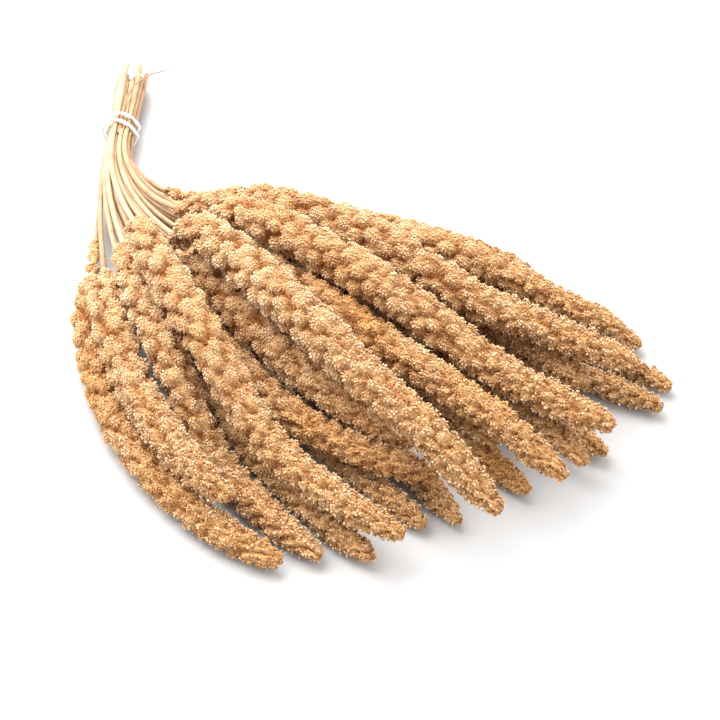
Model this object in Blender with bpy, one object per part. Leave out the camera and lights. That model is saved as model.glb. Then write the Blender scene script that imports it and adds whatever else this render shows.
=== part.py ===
"""Tied bunch of foxtail millet, lying on a surface.

Twenty-five sprays fan out from a white tie. Each spray is a straw stem and a lobed seed head.
The sprays are laid one after another, from the bottom of the pile up, and each one rests on
the table or on the sprays below it. +Y runs along the stems towards their cut ends, +Z is up,
and the origin is the bottom centre of the bunch's bounding box.
"""

import math

import bmesh
import bpy
import numpy as np

SEED = 26

# Place of the tie, which brings the bounding box's bottom centre to the origin
TIE_X = -0.1742
TIE_Y = 0.1762

# Bundle of stems at the tie
PITCH = 0.0035
ROWS = (
    # first place from the middle, in pitches, and number of stems, from the bottom row up
    (-1.5, 4),
    (-2.0, 5),
    (-2.5, 6),
    (-2.0, 5),
    (-1.5, 4),
    (-1.0, 1),
)
ROW_RISE = 0.866
BUNDLE_LOW = 0.0062
STRAIGHT = 0.022
BEND_LEAST = 0.150
BEND_POWER = 1.5
CURL_POWER = 1.7
HELD = 0.010
FLARE = 0.16
CUT_SHORT = 0.062
CUT_LONG = 0.086
CUT_STATIONS = 5

# Laying
STEP = 0.004
GAP = 0.0005
STEM_WINDOW = 0.020
HEAD_WINDOW = 0.032
NECK_RAMP = 0.020
NECK_REACH = 0.040
SINK = 0.0005
REST_REACH = 0.0026

# Stems
STEM_WIDTH = 0.0030
THIN_STEM = 0.0022
STEM_SIDES = 5
STEM_TOLERANCE = 0.00018
END_GAP = 0.0003

# Heads
HEAD_SIDES = 10
NECK_SHARE = 0.24
SHOULDER_SHARE = 0.42
SHOULDER_END = 0.03
SWELL_END = 0.16
TAPER_START = 0.30
TAPER_LOSS = 0.26
ROUND_START = 0.86
ROUND_LOSS = 0.93
ROUND_POWER = 2.2
RING_SPACING = 0.0106
TUFT_RING_SPACING = 0.0034
BASE_RELIEF = 0.24
TIP_RELIEF = 0.12
RAGGED = 0.05
APEX = 0.0012
END_CROWDING = 0.006

# Loose tufts below the head of the outermost spray: place from the head's start, and width
SPARSE_LENGTH = 0.045
TUFTS = ((0.006, 0.0062), (0.017, 0.0070), (0.033, 0.0078))
TUFT_HALF_LENGTH = 0.0055

# Tie and torn strand
TIE_RADIUS = 0.0013
TIE_CLEARANCE = 0.0003
TIE_SPREAD = 0.0062
TIE_LIFT = 0.0030
TIE_SEGMENTS = 56
TIE_SIDES = 5
TIE_LIFT_POWER = 4
RIM_POINTS = 48
STRAND_RADIUS = 0.00055
STRAND_SLOT = 0.0
STRAND_ROUTE = (
    # across, along and up from the strand's place in the bundle
    (0.0000, -0.0160, 0.0000),
    (0.0000, 0.0180, 0.0000),
    (0.0010, 0.0280, 0.0022),
    (0.0045, 0.0370, 0.0056),
    (0.0105, 0.0470, 0.0074),
    (0.0180, 0.0540, 0.0080),
    (0.0270, 0.0580, 0.0086),
)

# Colours, linear
GOLDEN = (0.730, 0.470, 0.230)
ORANGE = (0.670, 0.360, 0.135)
PALE = (0.800, 0.580, 0.310)
STRAW = (0.800, 0.610, 0.350)
WHITE = (0.850, 0.850, 0.830)
STEM_ROUGHNESS = 0.6
HEAD_ROUGHNESS = 0.85
TIE_ROUGHNESS = 0.8

# Sprays in three layers, from the bottom up. Each layer's stems share two rows of the bundle.
# Heading is the way the head's base points, in degrees from +X, with -90 straight out of the
# tie. Curl is how far the head turns from base to tip. Then stem length from the tie, head
# length, widest head width and head colour.
LOOSE_SPRAY = (-87, 58, 0.135, 0.345, 0.0240, ORANGE)
LAYERS = (
    (
        LOOSE_SPRAY,
        (-66, 21, 0.215, 0.265, 0.0225, GOLDEN),
        (-56, 9, 0.240, 0.230, 0.0200, GOLDEN),
        (-49, -10, 0.240, 0.235, 0.0205, GOLDEN),
        (-42, -11, 0.235, 0.245, 0.0210, ORANGE),
        (-34, -9, 0.235, 0.255, 0.0210, ORANGE),
        (-26, -7, 0.240, 0.255, 0.0205, GOLDEN),
        (-19, -23, 0.240, 0.250, 0.0185, PALE),
        (-10, -40, 0.250, 0.210, 0.0200, ORANGE),
    ),
    (
        (-79, 36, 0.205, 0.225, 0.0245, PALE),
        (-73, 31, 0.195, 0.275, 0.0230, PALE),
        (-63, 47, 0.220, 0.250, 0.0230, ORANGE),
        (-56, 22, 0.230, 0.210, 0.0260, GOLDEN),
        (-40, -19, 0.225, 0.230, 0.0235, GOLDEN),
        (-33, -26, 0.245, 0.250, 0.0210, GOLDEN),
        (-26, -32, 0.190, 0.265, 0.0250, PALE),
        (-16, -28, 0.270, 0.190, 0.0200, GOLDEN),
        (-11, -30, 0.135, 0.215, 0.0250, GOLDEN),
        (-13, -30, 0.190, 0.185, 0.0220, ORANGE),
        (-15, -47, 0.235, 0.240, 0.0180, GOLDEN),
    ),
    (
        (-69, 37, 0.200, 0.295, 0.0235, GOLDEN),
        (-54, 10, 0.220, 0.285, 0.0275, PALE),
        (-45, 0, 0.220, 0.285, 0.0235, ORANGE),
        (-42, 10, 0.210, 0.290, 0.0260, GOLDEN),
        (-35, 3, 0.175, 0.300, 0.0260, PALE),
    ),
)


def ease(t):
    """Smooth step from 0 to 1."""
    t = np.clip(t, 0.0, 1.0)
    return t * t * (3.0 - 2.0 * t)


def plan_path(x_slot, heading, curl, stem, head):
    """Arc length, x and y of a spray from the tie to its tip."""
    count = int(round((stem + head) / STEP)) + 1
    s = np.linspace(0.0, stem + head, count)
    bend_end = max(stem, BEND_LEAST)
    left = np.clip(1.0 - (s - STRAIGHT) / (bend_end - STRAIGHT), 0.0, 1.0)
    bend = 1.0 - left ** BEND_POWER
    along = np.clip((s - stem) / head, 0.0, 1.0)
    angle = np.radians(-90.0 + (heading + 90.0) * bend + curl * along ** CURL_POWER)
    middle = 0.5 * (angle[1:] + angle[:-1])
    step = s[1] - s[0]
    x = x_slot + np.concatenate(([0.0], np.cumsum(np.cos(middle)) * step))
    y = TIE_Y + np.concatenate(([0.0], np.cumsum(np.sin(middle)) * step))
    return s, x, y


def head_radius(t, length, width, sparse, stem_radius):
    """Outer radius of a head at distance t from its start."""
    u = np.clip((t - sparse) / (length - sparse), 0.0, 1.0)
    shoulder = SHOULDER_SHARE * ease(u / SHOULDER_END)
    swell = (1.0 - NECK_SHARE - SHOULDER_SHARE) * ease(u / SWELL_END)
    base = NECK_SHARE + shoulder + swell
    taper = 1.0 - TAPER_LOSS * ease((u - TAPER_START) / (1.0 - TAPER_START))
    last = np.clip((u - ROUND_START) / (1.0 - ROUND_START), 0.0, 1.0)
    end = np.sqrt(1.0 - ROUND_LOSS * last ** ROUND_POWER)
    radius = 0.5 * width * base * taper * end
    if sparse > 0.0:
        loose = np.full_like(radius, stem_radius)
        for place, tuft_width in TUFTS:
            bump = ease(1.0 - np.abs(t - place) / TUFT_HALF_LENGTH)
            loose = np.maximum(loose, stem_radius + (0.5 * tuft_width - stem_radius) * bump)
        radius = np.where(t < sparse, loose, np.maximum(radius, stem_radius))
    return radius


def arrange():
    """Sprays in the order they are laid, each with its stem's place (x, z) in the bundle.

    The places of two rows are taken from left to right by a layer's sprays, sorted by heading,
    so that the stems of a layer never cross. The lower row's sprays are laid first.
    """
    order = []
    for layer, sprays in enumerate(LAYERS):
        places = []
        for row in (2 * layer, 2 * layer + 1):
            first, count = ROWS[row]
            places += [(first + k, row) for k in range(count)]
        placed = list(zip(sorted(sprays), sorted(places)))
        placed.sort(key=lambda item: item[1][1])
        for spray, (across, row) in placed:
            slot = (TIE_X + across * PITCH, BUNDLE_LOW + row * PITCH * ROW_RISE)
            order.append((spray, slot))
    return order


def settle(s, need, stem):
    """Lift a height profile until it is smooth and nowhere lower than needed."""
    window = np.where(s < stem - NECK_RAMP, STEM_WINDOW, HEAD_WINDOW)
    near = np.abs(s[None, :] - s[:, None]) <= window[:, None] + 1e-9
    highest = np.where(near, need[None, :], -1.0).max(axis=1)
    smoothed = np.where(near, highest[None, :], 0.0).sum(axis=1) / near.sum(axis=1)
    return np.maximum(smoothed, need)


def lay_sprays():
    """Lay every spray on the table or on the ones below, and return their centre lines."""
    laid = []
    for spray, slot in arrange():
        heading, curl, stem, length, width, colour = spray
        loose = spray is LOOSE_SPRAY
        sparse = SPARSE_LENGTH if loose else 0.0
        stem_radius = 0.5 * (THIN_STEM if loose else STEM_WIDTH)
        s, x, y = plan_path(slot[0], heading, curl, stem, length)
        in_head = s >= stem
        radius = np.where(in_head, head_radius(s - stem, length, width, sparse, stem_radius), stem_radius)
        rise = ease((s - STRAIGHT) / (stem - STRAIGHT))
        neck_height = np.interp(stem + NECK_REACH, s, radius)
        need = np.where(in_head, radius - SINK, slot[1] + (max(neck_height, slot[1]) - slot[1]) * rise)
        for other in laid:
            flat = (x[:, None] - other["x"]) ** 2 + (y[:, None] - other["y"]) ** 2
            room = (radius[:, None] + other["radius"] + GAP) ** 2 - flat
            over = np.where(room > 0.0, other["z"] + np.sqrt(np.maximum(room, 0.0)), 0.0)
            need = np.maximum(need, over.max(axis=1))
        need = np.where(s <= HELD, slot[1], need)
        z = settle(s, need, stem)
        z = np.where(s <= HELD, slot[1], z)
        laid.append({"x": x, "y": y, "z": z, "s": s, "radius": radius, "stem": stem, "length": length,
                     "width": width, "sparse": sparse, "stem_radius": stem_radius, "slot": slot,
                     "colour": colour})
    return laid


def frames(points):
    """Unit tangent, side and up vectors along a centre line that is nowhere upright."""
    tangent = np.gradient(points, axis=0)
    tangent /= np.linalg.norm(tangent, axis=1)[:, None]
    side = np.cross(tangent, (0.0, 0.0, 1.0))
    side /= np.linalg.norm(side, axis=1)[:, None]
    up = np.cross(side, tangent)
    return tangent, side, up


def loft(points, radii):
    """Rings of vertices round a centre line. radii has one row for each point."""
    _, side, up = frames(points)
    sides = radii.shape[1]
    angle = (np.arange(sides) + 0.5) * 2.0 * math.pi / sides
    ring = np.cos(angle)[None, :, None] * side[:, None, :] + np.sin(angle)[None, :, None] * up[:, None, :]
    return points[:, None, :] + radii[:, :, None] * ring


def extrude_ring(shell, loop, edges, ring):
    """Extrude a loop of edges and move its new corners to the next ring."""
    grown = bmesh.ops.extrude_edge_only(shell, edges=edges)["geom"]
    fresh = {item for item in grown if isinstance(item, bmesh.types.BMVert)}
    following = []
    for corner, place in zip(loop, ring):
        far_ends = (edge.other_vert(corner) for edge in corner.link_edges)
        partner = next(end for end in far_ends if end in fresh)
        partner.co = place
        following.append(partner)
    return following, [shell.edges.get((a, b)) for a, b in zip(following, following[1:] + following[:1])]


def split_quads(shell, loops):
    """Split each quad between two loops, so that crests stay joined to crests."""
    for row, (near, far) in enumerate(loops):
        sides = len(near)
        for k in range(sides):
            n = (k + 1) % sides
            first, second = (near[k], far[n]) if (row + k) % 2 == 0 else (near[n], far[k])
            quad = next(face for face in first.link_faces if second in face.verts)
            bmesh.utils.face_split(quad, first, second)


def close_with_fan(shell, loop, tip):
    """Close a loop with triangles that meet in a point."""
    apex = shell.verts.new(tip)
    for a, b in zip(loop, loop[1:] + loop[:1]):
        shell.faces.new((a, b, apex))


def sweep(rings, tips=None, closed=False):
    """Shell extruded through rings of corners.

    A closed one joins its last ring to its first. Otherwise the ends are flat caps, or fans
    that meet in the two tips.
    """
    shell = bmesh.new()
    loop = [shell.verts.new(place) for place in rings[0]]
    edges = [shell.edges.new(pair) for pair in zip(loop, loop[1:] + loop[:1])]
    loops = [loop]
    for ring in rings[1:]:
        loop, edges = extrude_ring(shell, loop, edges, ring)
        loops.append(loop)
    bands = list(zip(loops, loops[1:]))
    if closed:
        bands.append((loops[-1], loops[0]))
        for k, corner in enumerate(loops[-1]):
            n = (k + 1) % len(loops[-1])
            shell.faces.new((corner, loops[-1][n], loops[0][n], loops[0][k]))
    split_quads(shell, bands)
    if tips is not None:
        close_with_fan(shell, loops[0], tips[0])
        close_with_fan(shell, loops[-1], tips[1])
    elif not closed:
        shell.faces.new(loops[0])
        shell.faces.new(loops[-1])
    bmesh.ops.recalc_face_normals(shell, faces=shell.faces)
    if shell.calc_volume(signed=True) < 0.0:
        bmesh.ops.reverse_faces(shell, faces=shell.faces)
    return shell


def make_material(name, colour, roughness):
    """Plain Principled material."""
    material = bpy.data.materials.new(name)
    material.use_nodes = True
    shader = material.node_tree.nodes["Principled BSDF"]
    shader.inputs["Base Color"].default_value = (*colour, 1.0)
    shader.inputs["Roughness"].default_value = roughness
    shader.inputs["Metallic"].default_value = 0.0
    material.diffuse_color = (*colour, 1.0)
    return material


def add_solid(name, shell, colour, roughness):
    """One closed mesh object, faces out and shaded smooth."""
    mesh = bpy.data.meshes.new(name)
    shell.to_mesh(mesh)
    shell.free()
    mesh.shade_smooth()
    mesh.materials.append(make_material(name + "_finish", colour, roughness))
    thing = bpy.data.objects.new(name, mesh)
    bpy.context.scene.collection.objects.link(thing)
    return thing


def thin_out(points, tolerance):
    """Indices of the points that keep a line within a tolerance."""
    keep = {0, len(points) - 1}
    spans = [(0, len(points) - 1)]
    while spans:
        first, last = spans.pop()
        if last - first < 2:
            continue
        chord = points[last] - points[first]
        chord /= np.linalg.norm(chord)
        offset = points[first + 1:last] - points[first]
        away = np.linalg.norm(offset - np.outer(offset @ chord, chord), axis=1)
        worst = int(away.argmax())
        if away[worst] > tolerance:
            middle = first + 1 + worst
            keep.add(middle)
            spans += [(first, middle), (middle, last)]
    return sorted(keep)


def centre_at(spray, s):
    """Centre-line points at distances s from the tie."""
    return np.stack([np.interp(s, spray["s"], spray[axis]) for axis in "xyz"], axis=1)


def make_stem(number, spray, rng):
    """Straw stem from its cut end, through the tie, to the base of its head."""
    cut = rng.uniform(CUT_SHORT, CUT_LONG)
    inner = np.concatenate((np.arange(0.0, spray["stem"] - END_GAP, STEP), [spray["stem"] - END_GAP]))
    points = centre_at(spray, inner)
    back = np.linspace(cut, HELD, CUT_STATIONS)
    spread = 1.0 + FLARE * ease((back - HELD) / (cut - HELD))
    middle = BUNDLE_LOW + 0.5 * (len(ROWS) - 1) * PITCH * ROW_RISE
    outer = np.stack([
        TIE_X + (spray["slot"][0] - TIE_X) * spread,
        TIE_Y + back,
        middle + (spray["slot"][1] - middle) * spread,
    ], axis=1)
    points = np.concatenate((outer, points))
    points = points[thin_out(points, STEM_TOLERANCE)]
    rings = loft(points, np.full((len(points), STEM_SIDES), spray["stem_radius"]))
    return add_solid("stem_%02d" % number, sweep(rings), STRAW, STEM_ROUGHNESS)


def head_stations(spray):
    """Ring places along a head, closer together at loose tufts and at the round tip."""
    length = spray["length"]
    sparse = spray["sparse"]
    loose = np.arange(0.0, sparse, TUFT_RING_SPACING)
    count = int(round((length - sparse) / RING_SPACING))
    share = np.linspace(0.0, 1.0, count)
    main = sparse + (length - sparse - APEX) * (share - END_CROWDING * np.sin(2.0 * math.pi * share))
    return np.concatenate((loose, main))


def make_head(number, spray, rng):
    """Seed head: a tapered core with staggered lobes raised all over it."""
    t = head_stations(spray)
    envelope = head_radius(t, spray["length"], spray["width"], spray["sparse"], spray["stem_radius"])
    points = centre_at(spray, spray["stem"] + t)
    ring = np.arange(len(t))[:, None]
    place = np.arange(HEAD_SIDES)[None, :]
    valley = (ring + place) % 2
    u = np.clip((t - spray["sparse"]) / (spray["length"] - spray["sparse"]), 0.0, 1.0)
    relief = (BASE_RELIEF + (TIP_RELIEF - BASE_RELIEF) * u)[:, None]
    ragged = rng.uniform(0.0, RAGGED, size=(len(t), HEAD_SIDES))
    radii = envelope[:, None] * (1.0 - relief * valley) * (1.0 - ragged)
    rings = loft(points, radii)
    on_table = (points[:, 2] - envelope < SINK)[:, None]
    pressed = on_table & (rings[:, :, 2] < REST_REACH)
    rings[:, :, 2] = np.where(pressed, 0.0, np.maximum(rings[:, :, 2], 0.0))
    tips = centre_at(spray, np.array([spray["stem"], spray["stem"] + spray["length"]]))
    return add_solid("head_%02d" % number, sweep(rings, tips), spray["colour"], HEAD_ROUGHNESS)


def hull_corners(points):
    """Corners of the convex hull of plane points, anticlockwise."""
    order = points[np.lexsort((points[:, 1], points[:, 0]))]

    def half(chain):
        """One side of the hull."""
        kept = []
        for p in chain:
            while len(kept) > 1:
                a, b = kept[-2], kept[-1]
                if (b[0] - a[0]) * (p[1] - a[1]) - (b[1] - a[1]) * (p[0] - a[0]) > 0.0:
                    break
                kept.pop()
            kept.append(p)
        return kept[:-1]

    return np.array(half(order) + half(order[::-1]))


def bundle_outline(slots, angles):
    """Distance from the bundle's middle to a line wound tightly round its stems."""
    centres = np.array(slots)
    middle = 0.5 * (centres.min(axis=0) + centres.max(axis=0))
    reach = 0.5 * STEM_WIDTH + TIE_CLEARANCE + TIE_RADIUS
    turn = np.linspace(0.0, 2.0 * math.pi, RIM_POINTS, endpoint=False)
    around = np.stack((np.cos(turn), np.sin(turn)), axis=1)
    rims = centres[:, None, :] + reach / math.cos(math.pi / RIM_POINTS) * around
    corners = hull_corners(rims.reshape(-1, 2)) - middle
    following = np.roll(corners, -1, axis=0)
    edge = following - corners
    normal = np.stack((edge[:, 1], -edge[:, 0]), axis=1)
    normal /= np.linalg.norm(normal, axis=1)[:, None]
    offset = np.einsum("ij,ij->i", corners, normal)
    rays = np.stack((np.cos(angles), np.sin(angles)), axis=1)
    lean = rays @ normal.T
    distance = np.where(lean > 1e-6, offset / np.maximum(lean, 1e-6), np.inf).min(axis=1)
    return middle, distance


def make_tie(slots):
    """White tie: one closed cord in two turns that spread on the right and cross on the left."""
    wind = np.linspace(0.0, 4.0 * math.pi, TIE_SEGMENTS, endpoint=False)
    middle, distance = bundle_outline(slots, wind % (2.0 * math.pi))
    lift = TIE_LIFT * np.clip(np.sin(0.5 * wind), 0.0, 1.0) ** TIE_LIFT_POWER
    radius = distance + lift
    centre = np.stack([
        middle[0] + radius * np.cos(wind),
        TIE_Y + TIE_SPREAD * np.cos(0.5 * wind),
        middle[1] + radius * np.sin(wind),
    ], axis=1)
    tangent = np.roll(centre, -1, axis=0) - np.roll(centre, 1, axis=0)
    tangent /= np.linalg.norm(tangent, axis=1)[:, None]
    outward = np.stack((np.cos(wind), np.zeros_like(wind), np.sin(wind)), axis=1)
    across = np.cross(tangent, outward)
    across /= np.linalg.norm(across, axis=1)[:, None]
    outward = np.cross(across, tangent)
    angle = np.arange(TIE_SIDES) * 2.0 * math.pi / TIE_SIDES
    turned = angle[None, :, None]
    ring = np.cos(turned) * outward[:, None, :] + np.sin(turned) * across[:, None, :]
    shell = sweep(centre[:, None, :] + TIE_RADIUS * ring, closed=True)
    return add_solid("tie", shell, WHITE, TIE_ROUGHNESS)


def make_strand():
    """Thin torn strand of leaf sheath, held under the tie and springing free past it."""
    route = np.array(STRAND_ROUTE)
    start = (TIE_X + STRAND_SLOT * PITCH, TIE_Y, BUNDLE_LOW + (len(ROWS) - 1) * PITCH * ROW_RISE)
    points = route + np.array(start)
    rings = loft(points, np.full((len(points), STEM_SIDES), STRAND_RADIUS))
    return add_solid("strand", sweep(rings), STRAW, STEM_ROUGHNESS)


def main():
    """Build every solid of the bunch."""
    for thing in list(bpy.data.objects):
        bpy.data.objects.remove(thing, do_unlink=True)
    rng = np.random.default_rng(SEED)
    laid = lay_sprays()
    for number, spray in enumerate(laid, start=1):
        make_stem(number, spray, rng)
        make_head(number, spray, rng)
    slots = [spray["slot"] for spray in laid]
    slots.append((TIE_X + STRAND_SLOT * PITCH, slots[-1][1]))
    make_tie(slots)
    make_strand()
    low = np.full(3, np.inf)
    high = -low
    triangles = 0
    for thing in bpy.data.objects:
        corners = np.array([vertex.co for vertex in thing.data.vertices])
        low = np.minimum(low, corners.min(axis=0))
        high = np.maximum(high, corners.max(axis=0))
        triangles += len(thing.data.polygons)
    print("bounds", np.round(low, 4), np.round(high, 4), "triangles", triangles)


main()
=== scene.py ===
"""Looks of a tied bunch of foxtail millet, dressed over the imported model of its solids.

The sprays are laid by the same rule as the solids: one after another, from the bottom of the
pile up, each on the table or on the ones below it. Every head then gets a lobed core, some
thousands of grains that stand out of it, and fine bristles. Stems, tie and torn strand are
carried along their own centre lines. All lengths are in metres, +Y runs along the stems towards
their cut ends, and +Z is up.
"""

from __future__ import annotations
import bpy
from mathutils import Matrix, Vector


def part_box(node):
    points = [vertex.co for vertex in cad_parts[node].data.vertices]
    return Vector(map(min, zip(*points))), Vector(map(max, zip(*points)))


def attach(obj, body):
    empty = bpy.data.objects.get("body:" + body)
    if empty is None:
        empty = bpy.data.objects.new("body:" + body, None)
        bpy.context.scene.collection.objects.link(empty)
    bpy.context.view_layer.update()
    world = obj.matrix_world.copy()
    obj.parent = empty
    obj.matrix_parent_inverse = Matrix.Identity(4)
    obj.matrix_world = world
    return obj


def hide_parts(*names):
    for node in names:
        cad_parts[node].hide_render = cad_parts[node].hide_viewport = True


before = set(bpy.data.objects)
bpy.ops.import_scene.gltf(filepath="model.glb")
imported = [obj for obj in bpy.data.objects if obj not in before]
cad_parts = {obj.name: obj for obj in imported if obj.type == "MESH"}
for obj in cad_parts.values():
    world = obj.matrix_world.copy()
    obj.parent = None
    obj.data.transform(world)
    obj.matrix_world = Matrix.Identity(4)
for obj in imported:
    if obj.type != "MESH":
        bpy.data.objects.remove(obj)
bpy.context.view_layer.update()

import logging
import math
from dataclasses import dataclass, field
from enum import Enum

import bpy
import numpy as np

Array = np.ndarray
Colour = tuple[float, float, float]
Span = tuple[float, float]
Socket = bpy.types.NodeSocket
LOG = logging.getLogger("millet_bunch")
BLACK: Colour = (0.0, 0.0, 0.0)
WHITE: Colour = (1.0, 1.0, 1.0)


class Tint(Enum):
    """Colour that a seed head ripened to, as its share of the ripe orange."""

    GOLDEN = 0.16
    ORANGE = 0.50
    PALE = 0.0


@dataclass(frozen=True)
class SprayRow:
    """How one spray is laid, with angles in degrees and lengths in metres."""

    heading: float
    curl: float
    stem: float
    head: float
    width: float
    tint: Tint
    loose: bool = False


BOTTOM_LAYER = (
    SprayRow(-87, 58, 0.135, 0.345, 0.0240, Tint.ORANGE, loose=True),
    SprayRow(-66, 21, 0.215, 0.265, 0.0225, Tint.GOLDEN),
    SprayRow(-56, 9, 0.240, 0.230, 0.0200, Tint.GOLDEN),
    SprayRow(-49, -10, 0.240, 0.235, 0.0205, Tint.GOLDEN),
    SprayRow(-42, -11, 0.235, 0.245, 0.0210, Tint.ORANGE),
    SprayRow(-34, -9, 0.235, 0.255, 0.0210, Tint.ORANGE),
    SprayRow(-26, -7, 0.240, 0.255, 0.0205, Tint.GOLDEN),
    SprayRow(-19, -23, 0.240, 0.250, 0.0185, Tint.PALE),
    SprayRow(-10, -40, 0.250, 0.210, 0.0200, Tint.ORANGE),
)
MIDDLE_LAYER = (
    SprayRow(-79, 36, 0.205, 0.225, 0.0245, Tint.PALE),
    SprayRow(-73, 31, 0.195, 0.275, 0.0230, Tint.PALE),
    SprayRow(-63, 47, 0.220, 0.250, 0.0230, Tint.ORANGE),
    SprayRow(-56, 22, 0.230, 0.210, 0.0260, Tint.GOLDEN),
    SprayRow(-40, -19, 0.225, 0.230, 0.0235, Tint.GOLDEN),
    SprayRow(-33, -26, 0.245, 0.250, 0.0210, Tint.GOLDEN),
    SprayRow(-26, -32, 0.190, 0.265, 0.0250, Tint.PALE),
    SprayRow(-16, -28, 0.270, 0.190, 0.0200, Tint.GOLDEN),
    SprayRow(-11, -30, 0.135, 0.215, 0.0250, Tint.GOLDEN),
    SprayRow(-13, -30, 0.190, 0.185, 0.0220, Tint.ORANGE),
    SprayRow(-15, -47, 0.235, 0.240, 0.0180, Tint.GOLDEN),
)
TOP_LAYER = (
    SprayRow(-69, 37, 0.200, 0.295, 0.0235, Tint.GOLDEN),
    SprayRow(-54, 10, 0.220, 0.285, 0.0275, Tint.PALE),
    SprayRow(-45, 0, 0.220, 0.285, 0.0235, Tint.ORANGE),
    SprayRow(-42, 10, 0.210, 0.290, 0.0260, Tint.GOLDEN),
    SprayRow(-35, 3, 0.175, 0.300, 0.0260, Tint.PALE),
)


def ease(value: Array) -> Array:
    """Smooth step: 3v^2 - 2v^3, held between 0 and 1."""
    value = np.clip(value, 0.0, 1.0)
    return value * value * (3.0 - 2.0 * value)


def unit(vectors: Array) -> Array:
    """Vectors scaled to length 1 along their last axis."""
    return vectors / np.maximum(np.linalg.norm(vectors, axis=-1, keepdims=True), 1e-12)


def between(ends: tuple[float, float], share: Array) -> Array:
    """Value that goes in proportion from the first end to the second."""
    return ends[0] + (ends[1] - ends[0]) * share


def around(sides: int) -> Array:
    """Angles of the corners of a round profile, a full turn shared out evenly."""
    return np.arange(sides) * 2.0 * math.pi / sides


@dataclass
class LaidSpray:
    """Centre line of one laid spray, from the tie to its tip, with its radius."""

    row: SprayRow
    slot: tuple[float, float]
    s: Array
    x: Array
    y: Array
    z: Array
    radius: Array
    sparse: float
    stem_radius: float

    def centre_at(self, s: Array) -> Array:
        """Centre-line points at distances s from the tie."""
        return np.stack([np.interp(s, self.s, axis) for axis in (self.x, self.y, self.z)], axis=-1)

    def line(self) -> Array:
        """All centre-line points."""
        return np.stack([self.x, self.y, self.z], axis=1)


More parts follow.
